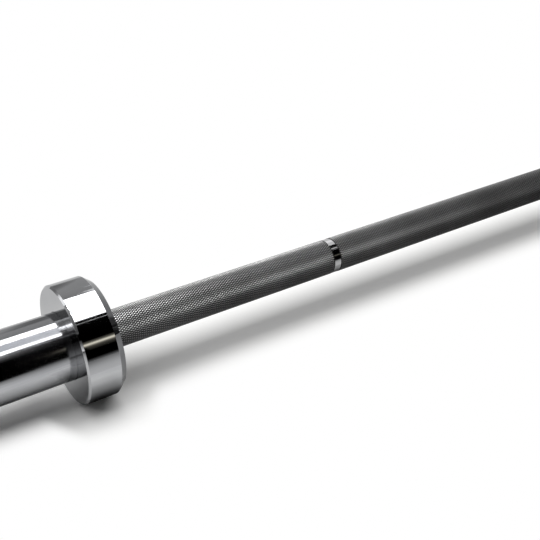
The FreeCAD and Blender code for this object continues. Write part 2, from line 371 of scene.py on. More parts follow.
# The tops of the diamonds are rubbed bright by hands, and the cuts between them are dark with grime and
# painted shade.
CUT_KNURL = KnurlFinish("hard chrome on cut knurl", "#858585", "#1E1E1E", 0.37, 0.5, 35.0)
FINISHES: dict[str, MetalFinish | RubberFinish] = {
    # Chrome mirrors its surroundings a little darker than they are. Polishing leaves rings too fine to
    # see one by one, and plates rub duller lines into the sleeve.
    "sleeve": MetalFinish("polished chrome plate, turned sleeve", "#AEAFB1", "#A2A3A6", 0.06, 0.15,
                          Lay.DRAWN, 1.2, 0.025, 60.0, 1.6),
    "collar": MetalFinish("polished chrome plate, turned collar", "#AEAFB1", "#A6A7A9", 0.04, 0.10,
                          Lay.TURNED, 5.0, 0.002, 45.0,
                          bevel=(COLLAR_FACE + HAIR, COLLAR_FACE + COLLAR_BEVEL[0])),
    # Pressed into the sleeve's mouth: dull black.
    "seal": RubberFinish("moulded nitrile rubber", "#141414", "#2A2928"),
    # Phosphate soaks up light: dark grey with a soft grain.
    "spring_steel": MetalFinish("phosphated spring steel", "#55565A", "#3E3E40", 0.42, 0.6,
                                Lay.EVEN, 0.5, 0.01, 8.0),
    # Faced and ground flat: even grey with fine rings.
    "washer_steel": MetalFinish("ground steel washer", "#B4B5B7", "#97989A", 0.22, 0.4,
                                Lay.TURNED, 0.8, 0.004, 12.0),
    # Pressed from powder and oiled: warm brown gold, slightly pitted.
    "bronze": MetalFinish("oiled sintered bronze", "#B98A4E", "#8A6234", 0.3, 0.5,
                          Lay.EVEN, 0.6, 0.012, 10.0),
    # Drawn cup and ground rollers: bright, cool grey.
    "bearing_steel": MetalFinish("ground bearing steel", "#BDBEC1", "#A4A5A8", 0.14, 0.3,
                                 Lay.TURNED, 0.7, 0.003, 9.0),
    # Pressed sheet: duller, with drawing lines.
    "cage_steel": MetalFinish("pressed steel cage", "#9A9893", "#7C7A76", 0.34, 0.5,
                              Lay.DRAWN, 0.6, 0.006, 7.0),
    # Turned, then anodised black: satin black with fine rings.
    "cap": MetalFinish("black anodised aluminium, turned", "#2B2B2E", "#1E1E20", 0.3, 0.45,
                       Lay.TURNED, 0.9, 0.008, 14.0),
}


@dataclass
class Surface:
    """A mesh as whole arrays."""

    points: np.ndarray  # one row per vertex, in mm
    quads: np.ndarray  # vertex numbers of the four-sided faces
    triangles: np.ndarray  # vertex numbers of the three-sided faces
    unwrap: np.ndarray  # map place of each face corner, quads first
    normals: np.ndarray  # direction that each vertex faces, or each face corner if there are as many
    height: np.ndarray | None = None  # share of full height at each vertex, or None

    def mesh(self, name: str) -> bpy.types.Mesh:
        """Puts the arrays into a new mesh, in metres.

        Args:
            name: the mesh's name.

        Returns:
            The mesh, with its map, its normals and its height attribute.
        """
        mesh = bpy.data.meshes.new(name)
        corners = np.concatenate([self.quads.ravel(), self.triangles.ravel()])
        fours, threes = len(self.quads), len(self.triangles)
        starts = np.concatenate([np.arange(fours) * 4, fours * 4 + np.arange(threes) * 3])
        mesh.vertices.add(len(self.points))
        mesh.vertices.foreach_set("co", (self.points * MM).astype(np.float32).ravel())
        mesh.loops.add(len(corners))
        mesh.loops.foreach_set("vertex_index", corners.astype(np.int32))
        mesh.polygons.add(len(starts))
        mesh.polygons.foreach_set("loop_start", starts.astype(np.int32))
        mesh.update(calc_edges=True)
        mesh.uv_layers.new(name=UNWRAP).uv.foreach_set("vector", self.unwrap.astype(np.float32).ravel())
        if self.height is not None:
            heights = mesh.attributes.new("height", "FLOAT", "POINT")
            heights.data.foreach_set("value", self.height.astype(np.float32))
        if len(self.normals) == len(corners):
            mesh.normals_split_custom_set(self.normals.astype(np.float32))
        else:
            mesh.normals_split_custom_set_from_vertices(self.normals.astype(np.float32))
        return mesh

    def piece(self, name: str, material: Material, body: str, slot: str, *replaced: str) -> None:
        """Makes the mesh a piece of the bar.

        Args:
            name: the piece's name.
            material: its finish.
            body: the CAD body that it moves with.
            slot: the record's material slot; not used.
            *replaced: CAD nodes that it stands for.
        """
        mesh = self.mesh(name)
        mesh.materials.append(material)
        piece = bpy.data.objects.new(name, mesh)
        bpy.context.scene.collection.objects.link(piece)
        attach(piece, body)
        if replaced:
            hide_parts(*replaced)
        LOG.info("%s: %d faces on %s", name, len(mesh.polygons), body)


def rounded(corners: list[Corner], steps: int = 5) -> tuple[np.ndarray, np.ndarray]:
    """Rounds the corners of an outline into arcs.

    At a corner the direction of travel turns evenly from one side's to the other's. Each arc point is the
    arc's centre plus or minus its radius along the left-hand normal. An arc takes at most 0.45 of a side.

    Args:
        corners: the outline, which runs with the metal on its right hand or on its left.
        steps: straight pieces in each arc.

    Returns:
        Points and left-hand normals, by corner and step, with the metal on the right hand.
    """
    table = np.array(corners, float)
    x, r = table[:, 0], table[:, 1]
    if np.sum(x * np.roll(r, -1) - np.roll(x, -1) * r) > 0:
        table = table[::-1]
    place, edge = table[:, :2], table[:, 2]
    back, ahead = np.roll(place, 1, 0) - place, np.roll(place, -1, 0) - place
    back_length, ahead_length = np.hypot(*back.T), np.hypot(*ahead.T)
    start = np.arctan2(-back[:, 1], -back[:, 0])
    turn = np.arctan2(ahead[:, 1], ahead[:, 0]) - start
    turn = (turn + np.pi) % (2 * np.pi) - np.pi
    slope = np.maximum(np.abs(np.tan(turn / 2)), 1e-9)
    reach = np.minimum(edge * slope, 0.45 * np.minimum(back_length, ahead_length))
    heading = start[:, None] + turn[:, None] * np.linspace(0, 1, steps + 1)
    left = np.stack([-np.sin(heading), np.cos(heading)], -1)
    swing = (np.sign(turn) * reach / slope)[:, None]
    centre = place + back / back_length[:, None] * reach[:, None] + swing * left[:, 0]
    return centre[:, None] - swing[:, None] * left, left


def turned(corners: list[Corner], segments: int, solid: bool = False) -> Surface:
    """Carries a rounded outline round the bar's axis.

    Vertex (i, j) lies at outline point i, turned by j / segments of a turn: x stays, y is the radius times
    the cosine and z the radius times the sine. A solid's outline starts and ends on the axis, where each
    end ring shrinks to one pole.

    Args:
        corners: outline in mm.
        segments: faces round a full turn.
        solid: True for a bar or disc, False for a ring with a bore.

    Returns:
        The closed surface with its exact normals.
    """
    line, left = (part.reshape(-1, 2) for part in rounded(corners))
    if solid:
        line, left = line[line[:, 1] > 1e-6], left[line[:, 1] > 1e-6]
    angle = 2 * np.pi * np.arange(segments) / segments
    spin = np.stack([np.cos(angle), np.sin(angle)], -1)

    def swept(flat: np.ndarray) -> np.ndarray:
        """Turns (along, outward) rows into vectors round the axis."""
        along = np.repeat(flat[:, :1], segments, 1)[..., None]
        return np.concatenate([along, flat[:, 1, None, None] * spin], -1).reshape(-1, 3)

    rings = len(line)
    rows = np.arange(rings - 1 if solid else rings)
    here, there = (part[:, None] * segments for part in (rows, (rows + 1) % rings))
    column = np.arange(segments)
    following = (column + 1) % segments
    ring = [here + column, here + following, there + following, there + column]
    quads = np.stack(ring, -1).reshape(-1, 4)
    gaps = np.hypot(*np.diff(line, axis=0, append=line[:1]).T)[:len(rows)]
    run = np.concatenate([[0.0], np.cumsum(gaps)]) / gaps.sum()
    across = np.stack([run[:-1], run[:-1], run[1:], run[1:]], -1)
    round_ = np.stack([column, column + 1, column + 1, column], -1) / segments
    unwrap = np.stack(np.broadcast_arrays(across[:, None], round_), -1).reshape(-1, 2)
    points, normals = swept(line), swept(left)
    triangles = np.empty((0, 3), int)
    if solid:
        poles = np.array([[line[0, 0], 0.0, 0.0], [line[-1, 0], 0.0, 0.0]])
        first, last = np.full(segments, len(points)), np.full(segments, len(points) + 1)
        rim = (rings - 1) * segments
        near = np.stack([first, following, column], -1)
        far = np.stack([rim + column, rim + following, last], -1)
        triangles = np.concatenate([near, far])
        points = np.concatenate([points, poles])
        normals = np.concatenate([normals, [[-1.0, 0.0, 0.0], [1.0, 0.0, 0.0]]])
        fan = np.stack([np.tile([0.0, 0.5], (segments, 1)), round_[:, [0, 3]][:, ::-1], round_[:, :2]], 1)
        unwrap = np.concatenate([unwrap, np.concatenate([fan, fan]).reshape(-1, 2) * (0.0, 1.0)])
    return Surface(points, quads, triangles, unwrap, normals)


@dataclass
class KnurlBand:
    """One band of cut diamonds.

    Two sets of V grooves wind round the bar, one each way. Between them stand diamonds with four slopes
    and a small flat land.
    """

    start: float  # lower end along the bar, in mm
    end: float  # upper end along the bar, in mm
    crest: float  # radius of the lands
    grip: float  # radius of the plain bar, where the cuts run out
    starts: int = 48  # grooves in each set. The usual 62 or so are too fine to show in the picture
    helix: float = 30.0  # angle of the grooves to the bar's axis, in degrees
    depth: float = 0.35  # from land to groove bottom
    land: float = 0.5  # half width of a land as a share of a diamond's half width
    wear: float = 0.012  # uneven height of the lands, in mm
    grime: float = 0.1  # uneven rubbing of the lands, as a share of full height
    dome: float = 14.0  # lean of a land's shading at its corners, in degrees, because hands wear it round
    skin: float = 0.1  # from groove bottom to the hidden inner wall
    seat: float = field(init=False)  # radius of that wall

    def __post_init__(self) -> None:
        """Works out the radius of the band's hidden inner wall."""
        self.seat = self.crest - self.depth - self.skin

    def surface(self, rng: np.random.Generator) -> Surface:
        """Works out the cut surface, five faces to a diamond.

        Columns are half pitches round the bar, and rows even steps along it. Where column and row add up
        to an even number two grooves cross, at the groove's radius. Where they add up to an odd number
        stands a diamond. The four corners of its land lie a share of a step from its middle, at the crest's
        radius, and four slopes run down from the land to the crossings round it. The first and last rows
        have the plain bar's radius. A slope faces along the cross product of its diagonals. At its corners
        a land faces outward, leaning away from its middle.

        Args:
            rng: source of the uneven wear.

        Returns:
            The band as a closed ring.
        """
        count = self.starts
        step = np.pi * self.grip / count / math.tan(math.radians(self.helix))
        rows = round((self.end - self.start) / step)
        turn, row = np.arange(count), np.arange(rows + 1)[:, None]
        inner = row[1:-1]
        crossing = np.stack(np.broadcast_arrays(2 * turn + row % 2, row), -1).astype(float)
        middle = np.stack(np.broadcast_arrays(2 * turn + 1 - inner % 2, inner), -1).astype(float)
        compass = np.array([(-1, 0), (0, -1), (1, 0), (0, 1)])
        lands = middle[:, :, None] + self.land * compass
        edge = np.full((rows + 1, count), self.crest - self.depth)
        edge[[0, -1]] = self.grip
        top = self.crest - self.wear * rng.random(lands.shape[:3])
        walls = crossing[[0, -1]]
        grid = np.concatenate([part.reshape(-1, 2) for part in (crossing, lands, walls)])
        radius = np.concatenate([edge.ravel(), top.ravel(), np.full(2 * count, self.seat)])
        angle = np.pi * grid[:, 0] / count
        along = self.start + (self.end - self.start) * grid[:, 1] / rows
        points = np.stack([along, radius * np.cos(angle), radius * np.sin(angle)], -1)
        tops = 1 - self.grime + self.grime * rng.random(top.size)
        height = np.concatenate([np.zeros(edge.size), tops, np.zeros(2 * count)])

        left, right = (turn - inner % 2) % count, (turn + 1 - inner % 2) % count
        west, east = inner * count + left, inner * count + right
        south, north = (inner - 1) * count + turn, (inner + 1) * count + turn
        first = edge.size + 4 * ((inner - 1) * count + turn)
        w, s, e, n = first, first + 1, first + 2, first + 3
        after = (turn + 1) % count
        low, high = edge.size + top.size, edge.size + top.size + count
        last = rows * count
        faces = [(w, s, e, n), (west, south, s, w), (south, east, e, s),
                 (east, north, n, e), (north, west, w, n)]
        ends = [(low + turn, low + after, after, turn),
                (last + turn, last + after, high + after, high + turn),
                (high + turn, high + after, low + after, low + turn)]
        quads = np.concatenate([np.stack(face, -1).reshape(-1, 4) for face in faces + ends])
        under = (rows - 1) * count + (turn + rows % 2) % count
        triangles = np.concatenate([np.stack([turn, after, count + turn], -1),
                                    np.stack([last + turn, under, last + after], -1)])

        four, three = points[quads], points[triangles]
        facing = np.cross(four[:, 2] - four[:, 0], four[:, 3] - four[:, 1])[:, None].repeat(4, 1)
        ends_facing = np.cross(three[:, 1] - three[:, 0], three[:, 2] - three[:, 0])[:, None].repeat(3, 1)
        corner_angle = angle[quads[:top.size // 4]]
        lean = math.tan(math.radians(self.dome)) * compass
        cosine, sine = np.cos(corner_angle), np.sin(corner_angle)
        round_lean, along_lean = lean[:, 0], np.broadcast_to(lean[:, 1], cosine.shape)
        domed = [along_lean, cosine - round_lean * sine, sine + round_lean * cosine]
        facing[:top.size // 4] = np.stack(domed, -1)
        normals = np.concatenate([facing.reshape(-1, 3), ends_facing.reshape(-1, 3)])
        normals /= np.linalg.norm(normals, axis=1, keepdims=True)

        flat = (grid + (1, 0)) / (2 * count + 2, rows)
        corner = [flat[part] for part in (quads, triangles)]
        for places in corner:
            wrapped = places[..., 0].max(1, keepdims=True) - places[..., 0] > 0.5
            places[..., 0] += wrapped * 2 * count / (2 * count + 2)
        unwrap = np.concatenate([part.reshape(-1, 2)[:, ::-1] for part in corner])
        return Surface(points, quads, triangles, unwrap, normals, height)


def stair(radius: float, edge: float, *steps: Pair) -> list[Corner]:
    """Draws a stepped outline.

    Args:
        radius: before the first step.
        edge: rounding of every corner.
        *steps: place along the bar and the radius from there on.

    Returns:
        Two corners to a step.
    """
    before = [radius] + [after for _, after in steps]
    return [(x, r, edge) for (x, after), first in zip(steps, before) for r in (first, after)]


@dataclass
class Shaft:
    """The solid bar: plain grip, ring marks, knurled bands and the grooved journals in the sleeves."""

    grip: float = 14.0  # radius of the plain bar
    crest: float = 14.15  # radius over the knurl
    journal: float = 13.96  # radius inside the sleeves
    groove: float = 13.31  # radius in the stop rings' grooves
    centre_half: float = 60.0  # half length of the middle band
    inner_start: float = 175.0  # where the inner band starts, from mid-length
    ring_mark: float = 455.0  # centre of the ring mark, from mid-length
    ring_width: float = 6.0  # width of the ring mark
    collar_gap: float = 3.0  # plain bar between the outer band and the collar
    end_bevel: float = 1.5  # bevel on the bar's ends
    groove_play: float = 0.1  # width of a stop ring's groove over the ring
    edge: float = 0.03  # rounding of turned edges
    tip_edge: float = 0.2  # rounding of the bar's ends
    segments: int = 200  # faces round the plain bar
    seed: int = 28  # start of the random wear on the knurl

    def bands(self) -> dict[str, KnurlBand]:
        """Lays out the knurled bands: one in the middle, and two on each side of it.

        Returns:
            The bands by name, from the left end to the right.
        """
        inner = (self.inner_start, self.ring_mark - self.ring_width / 2)
        outer = (self.ring_mark + self.ring_width / 2, COLLAR_FACE - self.collar_gap)
        found = {"centre": (-self.centre_half, self.centre_half)}
        for name, (start, end) in (("inner", inner), ("outer", outer)):
            found[f"right_{name}"] = (start, end)
            found[f"left_{name}"] = (-end, -start)
        ordered = sorted(found.items(), key=lambda item: item[1])
        return {name: KnurlBand(start, end, self.crest, self.grip) for name, (start, end) in ordered}

    def outline(self, bands: list[KnurlBand]) -> list[Corner]:
        """The bar without its knurl: a shallow seat under each band, and the grooved journals.

        Args:
            bands: the knurled bands in order along the bar.

        Returns:
            Corners from the left pole to the right pole.
        """
        tip = span("shaft")[1]
        first, last = span("right_inner_stop_ring"), span("right_outer_stop_ring")
        half = stair(self.grip, self.edge, (COLLAR_FACE, self.journal),
                     (first[0], self.groove), (first[1] + self.groove_play, self.journal),
                     (last[0] - self.groove_play, self.groove), (last[1], self.journal))
        half += [(tip - self.end_bevel, self.journal, self.tip_edge),
                 (tip, self.journal - self.end_bevel, self.tip_edge), (tip, 0.0, 0.0)]
        seats = [step for band in bands for step in ((band.start, band.seat), (band.end, self.grip))]
        return [(-x, r, e) for x, r, e in reversed(half)] + stair(self.grip, self.edge, *seats) + half

    def build(self) -> None:
        """Makes the bar and its knurled bands."""
        bands = self.bands()
        chrome, cut = GROUND_SHAFT.material(), CUT_KNURL.material()
        bar = turned(self.outline(list(bands.values())), self.segments, solid=True)
        bar.piece("shaft_bar", chrome, "shaft", "shaft", "shaft")
        rng = np.random.default_rng(self.seed)
        for name, band in bands.items():
            band.surface(rng).piece(f"knurl_{name}", cut, "shaft", "shaft")


@dataclass
class SleeveEnd:
    """One end of the bar: sleeve, collar, seal and cap as turned pieces, and the parts inside."""

    side: Side  # which end
    sleeve_radius: float = 25.0  # outside of the sleeve
    collar_radius: float = 44.0  # outside of the collar
    plate_bevel: float = 1.4  # bevel on the collar's plate side
    hand_bevel: Pair = COLLAR_BEVEL  # bevel on the collar's hand side, along and across
    bore_bevel: float = 0.3  # fine joint line where the collar meets the sleeve
    relief: Pair = (2.0, 0.4)  # turned groove under the collar, along and across
    nose: Pair = (2.0, 1.2)  # lead-in at the sleeve's open end, along and across
    seat: float = 17.5  # bore of the bearing seats
    bore: float = 17.8  # clearance bore between the seats
    cavity: float = 19.16  # bore round the stop rings
    mouth: float = 20.16  # bore round the end cap
    ring_groove: float = 21.41  # radius of the cap ring's groove
    flange: float = 3.0  # thickness of a bush's flange
    seat_margin: float = 6.0  # seat bore past a bearing
    groove_play: float = 0.1  # width of the cap ring's groove over the ring
    cap_radius: float = 20.11  # outside of the end cap
    cap_bevel: float = 0.5  # edge of the end cap
    cap_rim: float = 4.0  # flat rim round the dish
    cap_dish: float = 0.8  # depth of the dish
    seal_body: float = 3.0  # radial thickness of the seal's body
    seal_lip: float = 14.06  # inner radius of the seal's lip
    seal_lip_width: float = 1.6  # width of the lip on the journal
    edge: float = 0.06  # rounding of the sleeve's turned edges
    segments: int = 240  # faces round a turn

    def collar_outline(self) -> list[Corner]:
        """Draws the bevelled ring that stops the plates.

        Returns:
            Corners of the right end's piece, in order.
        """
        start, end = span("right_collar")
        along, across = self.hand_bevel
        return [
            (start, self.sleeve_radius, 0.05),
            (start, self.collar_radius - across, 0.35),
            (start + along, self.collar_radius, 0.35),
            (end - self.plate_bevel, self.collar_radius, 0.22),
            (end, self.collar_radius - self.plate_bevel, 0.22),
            (end, self.sleeve_radius + self.bore_bevel, 0.08),
            (end - self.bore_bevel, self.sleeve_radius, 0.05),
        ]

    def sleeve_outline(self) -> list[Corner]:
        """Draws the tube that plates slide on, with its stepped bore.

        Returns:
            Corners of the right end's piece, in order.
        """
        start, end = span("right_sleeve")
        collar_end = span("right_collar")[1]
        cap_start = span("right_end_cap")[0]
        ring_start, ring_end = span("right_end_cap_ring")
        inner_seat = span("right_inner_bush")[0] + self.flange
        outer_seat = span("right_outer_bush")[1] - self.flange
        inner_end = span("right_inner_bearing_cup")[1] + self.seat_margin
        outer_end = span("right_outer_bearing_cup")[0] - self.seat_margin
        relief_width, relief_depth = self.relief
        nose_along, nose_across = self.nose
        radius = self.sleeve_radius
        outside = stair(self.cavity, self.edge, (start, radius),
                        (collar_end - relief_width, radius - relief_depth), (collar_end, radius))
        nose = [(end - nose_along, radius, 0.4), (end, radius - nose_across, 0.3), (end, self.mouth, 0.2)]
        inside = stair(self.mouth, self.edge,
                       (ring_end + self.groove_play, self.ring_groove), (ring_start, self.mouth),
                       (cap_start, self.cavity), (outer_seat, self.seat), (outer_end, self.bore),
                       (inner_end, self.seat), (inner_seat, self.cavity))
        return outside + nose + inside

    def cap_outline(self) -> list[Corner]:
        """Draws the dished disc in the sleeve's mouth.

        Returns:
            Corners of the right end's piece, in order.
        """
        start, end = span("right_end_cap")
        dish = self.cap_radius - self.cap_bevel - self.cap_rim
        return [
            (start, 0.0, 0.0),
            (start, self.cap_radius, 0.1),
            (end - self.cap_bevel, self.cap_radius, 0.1),
            (end, self.cap_radius - self.cap_bevel, 0.1),
            (end, dish, 0.15),
            (end - self.cap_dish, dish - self.cap_dish, 0.3),
            (end - self.cap_dish, 0.0, 0.0),
        ]

    def seal_outline(self) -> list[Corner]:
        """Draws the rubber ring whose lip wipes the journal.

        Returns:
            Corners of the right end's piece, in order.
        """
        start, end = span("right_dust_seal")
        root = self.cavity - self.seal_body
        lip_start = (start + end - self.seal_lip_width) / 2
        return [
            (start, self.cavity, 0.2),
            (start, root, 0.3),
            (lip_start, self.seal_lip, 0.3),
            (lip_start + self.seal_lip_width, self.seal_lip, 0.3),
            (end, root, 0.3),
            (end, self.cavity, 0.2),
        ]

    def on_side(self, corners: list[Corner]) -> list[Corner]:
        """An outline of the right end, or its mirror image on the left end."""
        return [(self.side.value * x, r, edge) for x, r, edge in corners]

    def build(self, finishes: dict[str, Material]) -> None:
        """Makes this end's turned pieces and dresses the parts inside.

        Args:
            finishes: material by slot name.
        """
        body = f"{self.side.label}_sleeve"
        outlines = {
            "sleeve": (self.sleeve_outline(), "sleeve", False),
            "collar": (self.collar_outline(), "collar", False),
            "end_cap": (self.cap_outline(), "cap", True),
            "dust_seal": (self.seal_outline(), "seal", False),
        }
        for name, (corners, slot, solid) in outlines.items():
            node = f"{self.side.label}_{name}"
            surface = turned(self.on_side(corners), self.segments, solid)
            surface.piece(f"{node}_turned", finishes[slot], body, slot, node)
        dress(f"{self.side.label}_end_cap_ring", finishes["spring_steel"])
        inside = {
            "stop_ring": "spring_steel",
            "thrust_washer": "washer_steel",
            "bush": "bronze",
            "bearing_cup": "bearing_steel",
            "bearing_needles": "bearing_steel",
            "bearing_cage": "cage_steel",
        }
        for name, slot in inside.items():
            for place in ("inner", "outer"):
                dress(f"{self.side.label}_{place}_{name}", finishes[slot])


def dress(node: str, material: Material) -> None:
    """Gives a CAD node a finish.

    Args:
        node: the node's name.
        material: its finish.
    """
    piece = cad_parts[node]
    if not piece.material_slots:
        piece.data.materials.append(material)
    for slot in piece.material_slots:
        slot.material = material
    LOG.info("%s: dressed in %s", node, material.name)


def first_hand(tree: Tree) -> Socket:
    """1 for light that has met no matt surface yet, else 0, so that no specks fall on the floor."""
    return ramp(tree, add(tree, "LightPath", out="Diffuse Depth"), target=(1.0, 0.0))


def looked_at(tree: Tree) -> Socket:
    """Tells rays that look from rays that bring light.

    Args:
        tree: node tree of a material or the world.

    Returns:
        1 for rays from the camera, a mirror or glass, and 0 for light.
    """
    rays = [add(tree, "LightPath", out=f"Is {kind} Ray") for kind in ("Camera", "Glossy", "Transmission")]
    direct = calc(tree, "ADD", rays[0], rays[1])
    return calc(tree, "ADD", direct, rays[2], use_clamp=True)


@dataclass(frozen=True)
class SoftBox:
    """A rectangular lamp that hangs level above the bar, in metres."""

    name: str  # the lamp's name
    x: Pair  # from and to along the bar
    y: Pair  # from and to across the bar
    height: float  # above the bar's axis
    radiance: float  # brightness of its face
    reach: Reach = Reach.MIRRORS  # what it lights

    def build(self, floor: bpy.types.Object) -> None:
        """Hangs the lamp, with the power that its face's brightness and area need.

        Args:
            floor: the floor, which a lamp either lights alone or leaves out.
        """
        length, width = self.x[1] - self.x[0], self.y[1] - self.y[0]
        lamp = bpy.data.lights.new(self.name, "AREA")
        lamp.shape = "RECTANGLE"
        lamp.size, lamp.size_y = length, width
        lamp.energy = FACE_POWER * self.radiance * length * width
        if self.reach is Reach.MIRRORS:
            lamp.use_nodes = True
            tree = lamp.node_tree
            tree.nodes.clear()
            add(tree, "OutputLight", {0: add(tree, "Emission", {"Strength": first_hand(tree)})})
        holder = bpy.data.objects.new(self.name, lamp)
        holder.location = (sum(self.x) / 2, sum(self.y) / 2, self.height)
        holder.visible_camera = False
        holder.visible_diffuse = self.reach is Reach.FLOOR
        holder.visible_glossy = self.reach is Reach.MIRRORS
        bpy.context.scene.collection.objects.link(holder)
        lit = bpy.data.collections.new(f"lit by {self.name}")
        lit.objects.link(floor)
        lit.collection_objects[0].light_linking.link_state = self.reach.value
        holder.light_linking.receiver_collection = lit


@dataclass(frozen=True)
class Card:
    """A flat card, in metres, that mirrors see, and the camera only if told so. It throws no light."""

    name: str  # the card's name
    x: Pair | float  # from and to along the bar, or the one place where the card stands
    y: Pair | float  # the same across the bar
    z: Pair | float  # the same upwards. Two of the three have a from and to
    levels: tuple[float, ...] = (0.0,)  # brightness at even steps along the second of these two
    sides: tuple[float, ...] = (1.0,)  # share of that brightness at even steps along the first
    shade: str = "#FFFFFF"  # colour at brightness 1
    cloth: Cloth = Cloth.SOLID  # what it is hung with
    seen: bool = False  # True if the camera sees it too

    def material(self) -> Material:
        """Builds a glow, or a veil, that follows the level written on the card.

        Returns:
            The material.
        """
        material, tree = blank_material(f"{self.name} card")
        level = add(tree, "Attribute", out=2, attribute_name="glow")
        if self.cloth is Cloth.VEIL:
            clear = calc(tree, "SUBTRACT", 1.0, level)
            light = add(tree, "BsdfTransparent", {"Color": clear})
        else:
            strength = calc(tree, "MULTIPLY", level, first_hand(tree))
            light = add(tree, "Emission", {"Color": linear(self.shade), "Strength": strength})
        if self.cloth is Cloth.SHEER:
            light = add(tree, "AddShader", {0: light, 1: add(tree, "BsdfTransparent")})
        add(tree, "OutputMaterial", {0: light})
        material.cycles.emission_sampling = "NONE"
        return material

    def build(self, steps: int = 32) -> None:
        """Hangs the card as an even grid of points, at shares u and v of its first and second direction.

        Args:
            steps: squares on a side.
        """
        share = np.linspace(0, 1, steps + 1)
        v, u = (part.ravel() for part in np.meshgrid(share, share, indexing="ij"))
        shares = iter((u, v))
        places = [np.interp(next(shares), (0, 1), place) if isinstance(place, tuple)
                  else np.full(u.size, place) for place in (self.x, self.y, self.z)]
        glow = np.interp(v, np.linspace(0, 1, len(self.levels)), self.levels)
        glow *= np.interp(u, np.linspace(0, 1, len(self.sides)), self.sides)
        corner = (np.arange(steps) * (steps + 1))[:, None] + np.arange(steps)
        quads = np.stack([corner, corner + 1, corner + steps + 2, corner + steps + 1], -1).reshape(-1, 4)
        mesh = bpy.data.meshes.new(self.name)
        mesh.from_pydata(np.stack(places, -1).tolist(), [], quads.tolist())
        levels = mesh.attributes.new("glow", "FLOAT", "POINT")
        levels.data.foreach_set("value", glow.astype(np.float32))
        mesh.materials.append(self.material())
        card = bpy.data.objects.new(self.name, mesh)
        bpy.context.scene.collection.objects.link(card)
        card.visible_camera = self.seen
        card.visible_diffuse = False
        card.visible_transmission = False
        card.visible_shadow = False


@dataclass(frozen=True)
class Floor:
    """A level floor, in metres: bare paint by the bar, which takes its shadow, and even white beyond."""

    shade: str = "#F7F7F6"  # colour of the paint
    half: float = 30.0  # half its length and width
    behind: float = 0.03  # how far behind the bar's axis the middle of the shadow lies
    fade: Pair = (0.045, 0.075)  # distances from there between which paint turns to even white
    collar: float = 0.668  # where the middle of a collar stands, from mid-length
    collar_ends: Pair = (0.014, 0.045)  # distances from there between which a collar's shadow runs out
    collar_more: float = 0.028  # how much farther that shadow reaches
    sleeve: Pair = (0.69, 0.71)  # where the sleeve's shadow starts and is full, from mid-length
    sleeve_less: float = 0.008  # how much less far that shadow reaches
    mirrored: float = 0.04  # how much farther the paint reaches in mirrors

    def beyond_shadow(self, tree: Tree) -> Socket:
        """Marks the part of the floor that the bar's shadow doesn't reach.

        Args:
            tree: the floor's node tree.

        Returns:
            0 on bare paint and 1 beyond it.
        """
        place = add(tree, "TexCoord", out=3)
        shifted = add(tree, "VectorMath", {0: place, 1: (0.0, self.behind, 0.0)}, operation="SUBTRACT")
        folded = add(tree, "VectorMath", {0: shifted}, operation="ABSOLUTE")
        # The metre upwards takes the floor's own height out of the distance.
        bar = (CAD_BOX[1].x, 0.0, 1.0)
        past = add(tree, "VectorMath", {0: folded, 1: bar}, operation="SUBTRACT")
        aside = add(tree, "VectorMath", {0: past, 1: (0.0, 0.0, 0.0)}, operation="MAXIMUM")
        distance = add(tree, "VectorMath", {0: aside}, out=1, operation="LENGTH")
        along = add(tree, "SeparateXYZ", {0: folded})
        offset = calc(tree, "SUBTRACT", along, self.collar)
        by_collar = calc(tree, "ABSOLUTE", offset)
        ease = {"interpolation_type": "SMOOTHSTEP"}
        more = ramp(tree, by_collar, self.collar_ends, (self.collar_more, 0.0), **ease)
        less = ramp(tree, along, self.sleeve, (0.0, self.sleeve_less), **ease)
        reach = calc(tree, "SUBTRACT", more, less)
        mirrored = ramp(tree, add(tree, "LightPath", out="Is Camera Ray"), target=(self.mirrored, 0.0))
        full = calc(tree, "ADD", reach, mirrored)
        clear = calc(tree, "SUBTRACT", distance, full)
        return ramp(tree, clear, self.fade, **ease)

    def build(self) -> bpy.types.Object:
        """Lays the floor.

        Returns:
            The floor.
        """
        signs = ((-1, -1), (1, -1), (1, 1), (-1, 1))
        mesh = bpy.data.meshes.new("floor")
        mesh.from_pydata([(x * self.half, y * self.half, CAD_BOX[0].z) for x, y in signs], [], [(0, 1, 2, 3)])
        material, tree = blank_material("white painted board")
        even = calc(tree, "MULTIPLY", self.beyond_shadow(tree), looked_at(tree))
        paint = add(tree, "BsdfDiffuse", {"Color": linear(self.shade)})
        white = add(tree, "Emission", {"Strength": 1.0})
        add(tree, "OutputMaterial", {0: add(tree, "MixShader", {0: even, 1: paint, 2: white})})
        material.cycles.emission_sampling = "NONE"
        mesh.materials.append(material)
        floor = bpy.data.objects.new("floor", mesh)
        bpy.context.scene.collection.objects.link(floor)
        return floor


